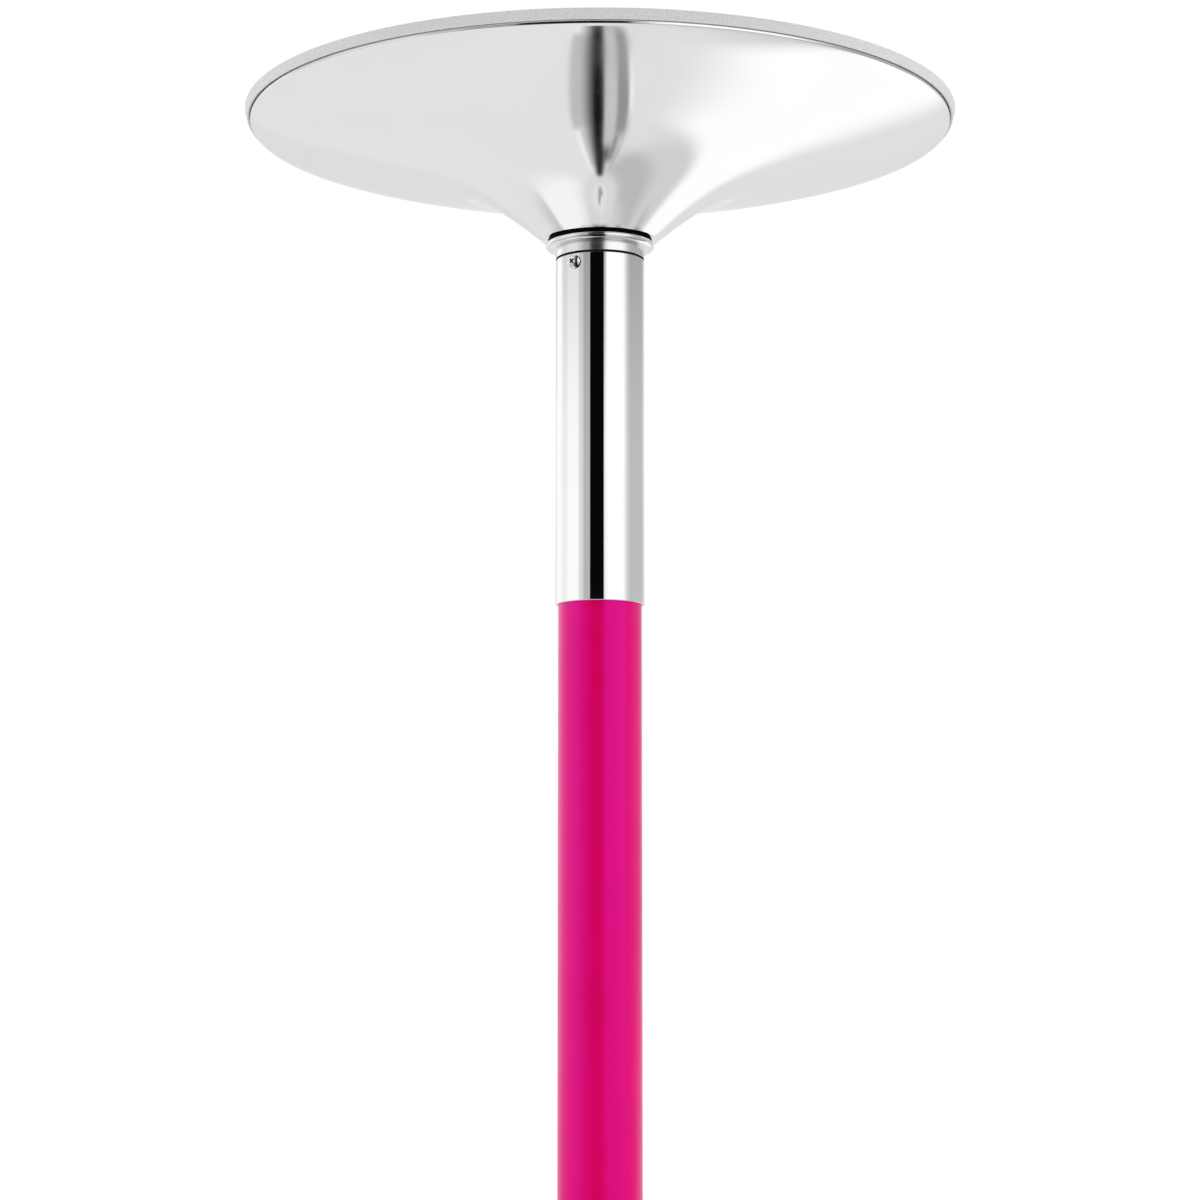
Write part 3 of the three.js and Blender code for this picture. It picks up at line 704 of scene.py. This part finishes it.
def washer_piece(node, body, bore, at_ceiling, swell, spread, draft):
    """Black nylon washer, made thicker by the swell so that its black fills the gaps beside it: painted
    shade in those gaps. It is wider than nominal by the spread on its side toward the end, and narrower
    by the draft on its other side."""
    radius, near, far = depths(node, at_ceiling)
    low, high = near - swell, far + swell
    corners = [(bore, low), (radius + spread, low), (radius - draft, high), (bore, high)]
    outline = filleted(corners, WASHER_FILLET)
    bm = turned_mesh(from_end(outline, at_ceiling), TUBE_SEGMENTS)
    finish_mesh(f"{node}_moulded", bm, body, (node,), "black_nylon")


def bell_washer_piece(node, body, bore, at_ceiling):
    # The spread shows its black as the dark line between the bell's neck and the bead: painted shade
    shape = (BELL_WASHER_SWELL, BELL_WASHER_SPREAD, BELL_WASHER_DRAFT)
    washer_piece(node, body, bore, at_ceiling, *shape)


def collar_outline(bead_radius, near, far, bore):
    """Half-round bead, then a straight step, round a plain bore."""
    nose = (BEAD_HEIGHT + BEAD_RISE) / 2
    bead_start = near - BEAD_RISE
    centre, height = bead_radius - nose, bead_start + nose
    bead = arc(centre, height, nose, -QUARTER_TURN, QUARTER_TURN, BEAD_STEPS)
    step_radius = sleeve_radius() + STEP_PROUD
    step = filleted([
        (step_radius, near + BEAD_HEIGHT),
        (step_radius, far),
        (bore, far),
        (bore, bead_start),
    ], STEP_FILLET)
    return bead + step


def collar_piece(node, body, bore, at_ceiling):
    radius, near, far = depths(node, at_ceiling)
    outline = collar_outline(radius, near, far, bore)
    bm = turned_mesh(from_end(outline, at_ceiling), TUBE_SEGMENTS)
    return finish_mesh(f"{node}_turned", bm, body, (node,), "chrome")


def dull_step(collar, node, at_ceiling):
    """Gives a collar's step the satin finish, and leaves its bead polished."""
    _, near, far = depths(node, at_ceiling)
    ends = [height for _, height in from_end([(0, near + BEAD_HEIGHT), (0, far)], at_ceiling)]
    low, high = min(ends) - SAME_HEIGHT, max(ends) + SAME_HEIGHT
    refinish_where(collar, satin_chrome, lambda face: low < face.center.z / MM < high)


def ceiling_end():
    pad_piece("ceiling_pad", "ceiling_plate", "dome", True)
    bell_piece("top_bell", "dome", True)
    post_bore = POST_DIAMETER / 2 + SCREW_GAP
    bell_washer_piece("bell_washer", "dome", post_bore, True)
    dull_step(collar_piece("top_collar", "dome", post_bore, True), "top_collar", True)


def floor_end():
    pad_piece("floor_pad", "base_plate", "base", False)
    bell_piece("base_bell", "base", False)
    bell_washer_piece("base_washer", "base", housing_bore(), False)
    hub_radius = span("rotor_hub")[0]
    collar = collar_piece("base_collar", "base", hub_radius + COLLAR_GAP, False)
    diameter = LOCK_SCREW_DIAMETER + 2 * SCREW_GAP
    drills = drills_at(("lock_screw_1", "lock_screw_2"), diameter, hub_radius)
    dull_step(apply_cuts(collar, drills), "base_collar", False)


# Pole

def tube_piece(node, bore, slot, fillet):
    radius, low, high = span(node)
    bm = turned_mesh(filleted(ring_outline(bore, radius, low, high), fillet), TUBE_SEGMENTS)
    return finish_mesh(f"{node}_finished", bm, "pole", (node,), slot)


def sleeve_piece(node, screws):
    sleeve = tube_piece(node, sleeve_radius() - SLEEVE_WALL, "chrome", SLEEVE_FILLET)
    apply_cuts(sleeve, drills_at(screws, PAN_SHANK_DIAMETER + 2 * SCREW_GAP, grip_bore()))


def grip_piece(node, bolt):
    """Coated tube with a hole for the key that turns the joint's bolt."""
    tube = tube_piece(node, grip_bore(), "pink_coat", TUBE_FILLET)
    return apply_cuts(tube, drills_at((bolt,), KEY_HOLE_DIAMETER, 0))


def recess_arm(top, turn_angle):
    """One bar of a cross recess, narrower at its floor."""
    bm = bmesh.new()
    rows = []
    for height, share in ((top - RECESS_DEPTH, RECESS_TAPER_SHARE), (top, 1), (top + CUT_OVERRUN, 1)):
        half_x, half_y = RECESS_LENGTH / 2 * share, RECESS_WIDTH / 2 * share
        rows.append([bm.verts.new((x * MM, y * MM, height * MM)) for x, y in (
            (-half_x, -half_y), (half_x, -half_y), (half_x, half_y), (-half_x, half_y))])
    for lower, upper in zip(rows, rows[1:]):
        for i in range(len(lower)):
            j = (i + 1) % len(lower)
            bm.faces.new((lower[i], lower[j], upper[j], upper[i]))
    bm.faces.new(rows[0][::-1])
    bm.faces.new(rows[-1])
    bmesh.ops.rotate(bm, verts=bm.verts, cent=(0, 0, 0), matrix=Matrix.Rotation(turn_angle, 3, "Z"))
    return bm


def pan_screw_piece(node):
    """Cross-recess pan head screw, drawn along +Z and pointed out through the sleeve."""
    place = middle(node)
    azimuth = azimuth_of(place)
    tip, crown = span_along(node, toward(azimuth))
    head_radius, shank = PAN_HEAD_DIAMETER / 2, PAN_SHANK_DIAMETER / 2
    seat = sleeve_radius() + PAN_SEAT_RISE
    side = seat + (crown - seat) * PAN_SIDE_SHARE
    outline = [(0, tip), (shank, tip), (shank, seat), (head_radius, seat)]
    for i in range(CROWN_STEPS):
        share = 1 - i / CROWN_STEPS
        outline.append((head_radius * share, side + (crown - side) * (1 - share ** PAN_CROWN_POWER)))
    outline.append((0, crown))
    bm = pointing_out(turned_mesh(outline, SMALL_SEGMENTS), azimuth, place.z)
    screw = finish_mesh(f"{node}_cross_head", bm, "pole", (node,), "screw_steel")
    arms = []
    for quarter in (0, 1):
        arm = recess_arm(crown, RECESS_TURN + QUARTER_TURN * quarter)
        arms.append(cutter(pointing_out(arm, azimuth, place.z)))
    apply_cuts(screw, arms)
    # Painted shade on the faces inside the cross recess
    paint_recess_shade(screw, toward(azimuth), place.z, crown)


def paint_recess_shade(screw, direction, height, crown):
    """Gives the faces inside a screw's cross recess the painted shade."""
    def inside(face):
        offset = face.center / MM - Vector((0, 0, height))
        along = offset.dot(direction)
        across = (offset - direction * along).length
        near_recess = along > crown - RECESS_DEPTH - SCREW_GAP and across < RECESS_LENGTH / 2
        below_crown = along < crown - RECESS_DEPTH / 2 or face.normal.dot(direction) < CROWN_COSINE
        return near_recess and below_crown

    refinish_where(screw, recess_shade, inside)


def thrust_ring_piece():
    radius, low, high = span("thrust_ring")
    outline = filleted(ring_outline(THREAD_DIAMETER / 2 + SLIP_GAP, radius, low, high), RING_FILLET)
    bm = turned_mesh(outline, TUBE_SEGMENTS)
    finish_mesh("thrust_ring_turned", bm, "pole", ("thrust_ring",), "brass")


def spin_washer_piece():
    bore = span("spin_washer")[0] - SPIN_WASHER_WIDTH
    # Its swell fills the running gaps above and below it with black: painted shade there
    shape = (SPIN_WASHER_SWELL, SPIN_WASHER_SPREAD, -SPIN_WASHER_SPREAD)
    washer_piece("spin_washer", "pole", bore, False, *shape)


def pole_pieces():
    spin_washer_piece()
    sleeve_piece("top_sleeve", ("hub_screw_1", "hub_screw_2"))
    sleeve_piece("bottom_sleeve", ("bush_screw_1", "bush_screw_2"))
    for node, bolt in (("upper_tube", "joint_bolt_2"), ("lower_tube", "joint_bolt_1")):
        # The chrome beside it shows no pink
        grip_piece(node, bolt).visible_glossy = False
    for node in ("hub_screw_1", "hub_screw_2", "bush_screw_1", "bush_screw_2"):
        pan_screw_piece(node)
    thrust_ring_piece()


# Screw jack

def nut_piece(node):
    """Hexagon nut with its corners turned off at both faces."""
    _, low, high = span(node)
    bore = THREAD_DIAMETER / 2 + SLIP_GAP
    turned_to = hex_radius(NUT_ACROSS, 0) - NUT_CHAMFER

    def outline_at(angle):
        radius = hex_radius(NUT_ACROSS, angle)
        flat = min(radius, turned_to)
        fall = max(radius - turned_to, 0) * NUT_FALL_SHARE
        return [
            (bore, low + NUT_BORE_CHAMFER),
            (bore + NUT_BORE_CHAMFER, low),
            (flat, low),
            (radius, low + fall),
            (radius, high - fall),
            (flat, high),
            (bore + NUT_BORE_CHAMFER, high),
            (bore, high - NUT_BORE_CHAMFER),
        ]

    bm = turned_mesh(None, HEX_SIDES * NUT_SIDE_SEGMENTS, outline_at)
    finish_mesh(f"{node}_chamfered", bm, "adjuster", (node,), "chrome", NUT_CREASE_ANGLE)


def thread_mesh(bm, low, high):
    """Trapezoidal screw thread as one winding surface."""
    crest, flank = THREAD_CREST_SHARE * THREAD_PITCH, THREAD_FLANK_SHARE * THREAD_PITCH
    outer = THREAD_DIAMETER / 2
    root = outer - THREAD_DEPTH
    profile = [(outer, 0), (outer, crest), (root, crest + flank), (root, THREAD_PITCH - flank)]
    turns = math.floor((high - low) / THREAD_PITCH) - 1
    count = turns * THREAD_STEPS
    rows = []
    for i in range(count + THREAD_STEPS + 1):
        angle = TURN * i / THREAD_STEPS
        rise = low + THREAD_PITCH * i / THREAD_STEPS
        rows.append([bm.verts.new((
            r * math.sin(angle) * MM, -r * math.cos(angle) * MM, (rise + z) * MM,
        )) for r, z in profile])
    for i in range(count):
        here, there = rows[i], rows[i + 1]
        above, above_next = rows[i + THREAD_STEPS], rows[i + THREAD_STEPS + 1]
        for j in range(len(profile)):
            if j + 1 < len(profile):
                corners = (here[j], there[j], there[j + 1], here[j + 1])
            else:
                corners = (here[j], there[j], above_next[0], above[0])
            bm.faces.new(corners)


def spindle_piece():
    """Shouldered journal in the base, and the thread that the nuts climb."""
    _, low, high = span("spindle")
    hub_top = span("rotor_hub")[2]
    journal = span_inside("base_bearing_inner") - SCREW_GAP
    shoulder = SHOULDER_DIAMETER / 2
    shoulder_high = span("base_bearing_inner")[1] - SEAT_GAP
    shoulder_low = shoulder_high - SHOULDER_HEIGHT
    core = THREAD_DIAMETER / 2 - THREAD_DEPTH - CORE_INSET
    outline = [
        (0, low),
        (journal, low),
        (journal, shoulder_low),
        (shoulder, shoulder_low),
        (shoulder, shoulder_high),
        (journal, shoulder_high),
        (journal, hub_top),
        (core, hub_top + THREAD_RUNOUT),
        (core, high - THREAD_CHAMFER),
        (core - THREAD_CHAMFER, high),
        (0, high),
    ]
    bm = turned_mesh(outline, TUBE_SEGMENTS)
    thread_mesh(bm, hub_top + THREAD_RUNOUT / 2, high - THREAD_CHAMFER)
    finish_mesh("spindle_threaded", bm, "rotor", ("spindle",), "thread_steel")


def lock_screw_piece(node, body):
    """Socket set screw in the base collar."""
    place = middle(node)
    azimuth = azimuth_of(place)
    tip, head = span_along(node, toward(azimuth))
    radius = LOCK_SCREW_DIAMETER / 2
    outline = [
        (0, tip), (radius - LOCK_CHAMFER, tip), (radius, tip + LOCK_CHAMFER),
        (radius, head - LOCK_CHAMFER), (radius - LOCK_CHAMFER, head), (0, head),
    ]
    bm = pointing_out(turned_mesh(outline, SMALL_SEGMENTS), azimuth, place.z)
    screw = finish_mesh(f"{node}_socket_head", bm, body, (node,), "screw_steel")

    def socket_at(angle):
        across = hex_radius(LOCK_SOCKET_ACROSS, angle)
        start, end = head - LOCK_SOCKET_DEPTH, head + CUT_OVERRUN
        return [(0, start), (across, start), (across, end), (0, end)]

    socket = turned_mesh(None, HEX_SIDES * SOCKET_SIDE_SEGMENTS, socket_at)
    apply_cuts(screw, [cutter(pointing_out(socket, azimuth, place.z))])


def screw_jack():
    nut_piece("jam_nut")
    nut_piece("adjuster_nut")
    spindle_piece()
    lock_screw_piece("lock_screw_1", "lock_1")
    lock_screw_piece("lock_screw_2", "lock_2")


# Studio

# The room round the pole, as soft panels by direction in degrees, each laid over those before it:
# how bright it is, which azimuths and elevations it fills, and how wide its soft edges are. The
# panels that dim are less bright higher up.
Panel = namedtuple("Panel", "brightness azimuths azimuth_edge elevations elevation_edge dims",
                   defaults=(None, 5, False))
HALF_TURN_DEGREES = 180
FULL_CIRCLE = (-400, 400)
WALL_BRIGHTNESS = 0.55
DIMMING_ELEVATIONS = (9, 17)
DIMMED_SHARE = 0.6

LEVEL_PANELS = [
    # Back wall, then the left wall with its window and its softbox
    Panel(0.85, (150, 205), 14, dims=True),
    Panel(0.94, (196, 306), 8, dims=True),
    Panel(1.06, (212, 242), 8),
    Panel(1.06, (266, 304), 5, dims=True),
    # Cards between the left softbox and the camera
    Panel(0.76, (-56, -43), 4, dims=True),
    Panel(0.5, (-43, -14), 4, dims=True),
    # Right softbox with its glow
    Panel(0.92, (4, 74), 14),
    Panel(1.12, (17, 66), 8),
    # A flag over its near edge, higher up
    Panel(0.4, (8, 15), 4, (12, 40), 2),
]
OVERHEAD = Panel(0.86, FULL_CIRCLE, 1, (37, 120), 13)
LOW_PANELS = [
    # Sweep under the level panels, with a lamp on its left
    Panel(0.8, FULL_CIRCLE, 1, (-120, 0), 3),
    Panel(0.75, (158, 202), 6, (-12, 9), 1.5),
    Panel(0.97, (228, 285), 12, (-77, -50), 6),
    # The right of it, which another lamp lights in a band
    Panel(0.77, (112, 178), 8, (-120, -6), 4),
    Panel(1.06, (124, 171), 4, (-44, -19), 4),
    Panel(0.66, (60, 163), 8, (-120, -46), 3),
    Panel(0.52, (96, 165), 10, (-79, -62), 5),
    # Floor straight down
    Panel(0.73, FULL_CIRCLE, 1, (-120, -80), 2),
    # What the pole's own image shows: dim cards either side of the camera, and the dark between
    Panel(0.58, (-128, 0), 8, (-51, -3), 2),
    Panel(0.66, (-84, 0), 6, (-75, -51), 3),
    Panel(0.32, (40, 118), 6, (-54, -3), 4),
    Panel(0.32, (30, 88), 5, (-72, -54), 3),
    Panel(0.02, (-45, 40), 32, (-82, -3), 3),
    Panel(0.64, (15, 62), 6, (-62, -3), 5),
]
# The dark round the camera, over all the others
CAMERA_GAP = Panel(0.002, (-26, 10), 1, (0, 50), 8)
LOW_CAMERA_GAP = Panel(0.005, (-20, 6), 4, (-60, 0), 4)

FLOOR_RADIUS = 9000
FLOOR_RING_SHARES = (0.25, 0.5, 1)
FLOOR_SIDES = 96
FLOOR_GAP = 0.3

# Lamps either side of the camera, in metres and watts
LAMP_DISTANCE = 2.7
LAMP_HEIGHT = 1.7
LAMP_SIZE = (1.2, 2.4)
LAMP_POWER = 24
LAMP_AZIMUTHS = {"left_softbox": -68, "right_softbox": 66}


class Surroundings:
    """The studio round the pole, as soft panels by direction."""

    def __init__(self):
        world = bpy.data.worlds.new("studio")
        world.use_nodes = True
        bpy.context.scene.world = world
        self.tree = world.node_tree
        self.tree.nodes.clear()
        place = self.node("ShaderNodeTexCoord").outputs["Generated"]
        split = self.node("ShaderNodeSeparateXYZ")
        self.tree.links.new(place, split.inputs[0])
        minus_y = self.combine("MULTIPLY", split.outputs["Y"], -1)
        self.azimuth = self.combine("DEGREES", self.combine("ARCTAN2", split.outputs["X"], minus_y))
        self.elevation = self.combine("DEGREES", self.combine("ARCSINE", split.outputs["Z"]))
        self.dimming = self.step(self.elevation, *DIMMING_ELEVATIONS, 1, DIMMED_SHARE)
        self.tone = self.combine("MULTIPLY", self.dimming, WALL_BRIGHTNESS)

    def node(self, kind):
        return self.tree.nodes.new(kind)

    def plug(self, value, socket):
        if isinstance(value, (int, float)):
            socket.default_value = value
        else:
            self.tree.links.new(value, socket)

    def combine(self, operation, first, second=0):
        node = self.node("ShaderNodeMath")
        node.operation = operation
        self.plug(first, node.inputs[0])
        self.plug(second, node.inputs[1])
        return node.outputs[0]

    def step(self, value, start, end, first=0, second=1):
        """Smooth passage between two values where a direction goes from a start to an end."""
        node = self.node("ShaderNodeMapRange")
        node.interpolation_type = "SMOOTHSTEP"
        self.plug(value, node.inputs["Value"])
        self.plug(start, node.inputs["From Min"])
        self.plug(end, node.inputs["From Max"])
        self.plug(first, node.inputs["To Min"])
        self.plug(second, node.inputs["To Max"])
        return node.outputs["Result"]

    def window(self, value, low, high, edge):
        """1 between two angles and 0 outside them, with soft edges."""
        rise = self.step(value, low - edge, low + edge)
        fall = self.step(value, high - edge, high + edge, 1, 0)
        return self.combine("MULTIPLY", rise, fall)

    def mix(self, share, first, second):
        """first where the share is 0, second where it is 1."""
        change = self.combine("MULTIPLY", share, self.combine("SUBTRACT", second, first))
        return self.combine("ADD", first, change)

    def panel(self, panel):
        """Lays a panel over what is there. Its azimuths may run past 180 degrees."""
        low, high = panel.azimuths
        share = self.window(self.azimuth, low, high, panel.azimuth_edge)
        if high > HALF_TURN_DEGREES:
            low, high = low - 2 * HALF_TURN_DEGREES, high - 2 * HALF_TURN_DEGREES
            again = self.window(self.azimuth, low, high, panel.azimuth_edge)
            share = self.combine("MAXIMUM", share, again)
        if panel.elevations:
            low, high = panel.elevations
            rows = self.window(self.elevation, low, high, panel.elevation_edge)
            share = self.combine("MULTIPLY", share, rows)
        brightness = panel.brightness
        if panel.dims:
            brightness = self.combine("MULTIPLY", self.dimming, brightness)
        self.tone = self.mix(share, self.tone, brightness)

    def finish(self):
        """Shows plain white to the camera, and the panels to everything else."""
        path = self.node("ShaderNodeLightPath")
        shown = self.mix(path.outputs["Is Camera Ray"], self.tone, 1)
        back = self.node("ShaderNodeBackground")
        back.inputs["Color"].default_value = (1, 1, 1, 1)
        self.plug(shown, back.inputs["Strength"])
        out = self.node("ShaderNodeOutputWorld")
        self.tree.links.new(back.outputs[0], out.inputs["Surface"])


def studio_floor():
    """Plain pale floor."""
    bm = bmesh.new()
    rings = []
    for share in FLOOR_RING_SHARES:
        radius = FLOOR_RADIUS * share * MM
        angles = [TURN * i / FLOOR_SIDES for i in range(FLOOR_SIDES)]
        rings.append([bm.verts.new((radius * math.sin(a), radius * math.cos(a), -FLOOR_GAP * MM))
                      for a in angles])
    bm.faces.new(rings[0])
    for inner, outer in zip(rings, rings[1:]):
        for i in range(FLOOR_SIDES):
            j = (i + 1) % FLOOR_SIDES
            bm.faces.new((inner[i], inner[j], outer[j], outer[i]))
    bmesh.ops.recalc_face_normals(bm, faces=bm.faces)
    mesh = bpy.data.meshes.new("studio_floor")
    bm.to_mesh(mesh)
    bm.free()
    floor = bpy.data.objects.new("studio_floor", mesh)
    bpy.context.collection.objects.link(floor)
    finish = Finish("floor_paint", Roughness=0.6)
    finish.colours(srgb(234, 234, 235), srgb(238, 238, 239), size=400)
    mesh.materials.append(finish.material)
    floor.visible_glossy = False


def studio_lamp(name, azimuth):
    """Soft lamp for the surfaces that don't mirror."""
    data = bpy.data.lights.new(name, "AREA")
    data.shape = "RECTANGLE"
    data.size, data.size_y = LAMP_SIZE
    data.energy = LAMP_POWER
    lamp = bpy.data.objects.new(name, data)
    bpy.context.collection.objects.link(lamp)
    lamp.location = toward(azimuth) * LAMP_DISTANCE + Vector((0, 0, LAMP_HEIGHT))
    lamp.rotation_euler = (-toward(azimuth)).to_track_quat("-Z", "Y").to_euler()
    lamp.visible_camera = False
    lamp.visible_glossy = False


def studio():
    surroundings = Surroundings()
    for panel in LEVEL_PANELS + [OVERHEAD] + LOW_PANELS + [CAMERA_GAP, LOW_CAMERA_GAP]:
        surroundings.panel(panel)
    surroundings.finish()
    studio_floor()
    for name, azimuth in LAMP_AZIMUTHS.items():
        studio_lamp(name, azimuth)
    bpy.context.scene.view_settings.view_transform = "Standard"


# Camera

CAMERA_DISTANCE = 1711
CAMERA_HEIGHT = 1910.1
CAMERA_PITCH = 7.41
CAMERA_LENS = 96.08
SENSOR_WIDTH = 36


def camera():
    """Stands in front of the pole, just under its top, and looks up a little."""
    data = bpy.data.cameras.new("camera")
    data.sensor_width = SENSOR_WIDTH
    data.lens = CAMERA_LENS
    thing = bpy.data.objects.new("camera", data)
    thing.location = (0, -CAMERA_DISTANCE * MM, CAMERA_HEIGHT * MM)
    thing.rotation_euler = (QUARTER_TURN + math.radians(CAMERA_PITCH), 0, 0)
    bpy.context.collection.objects.link(thing)
    bpy.context.scene.camera = thing


camera()
studio()
dress_solids()
ceiling_end()
floor_end()
pole_pieces()
screw_jack()
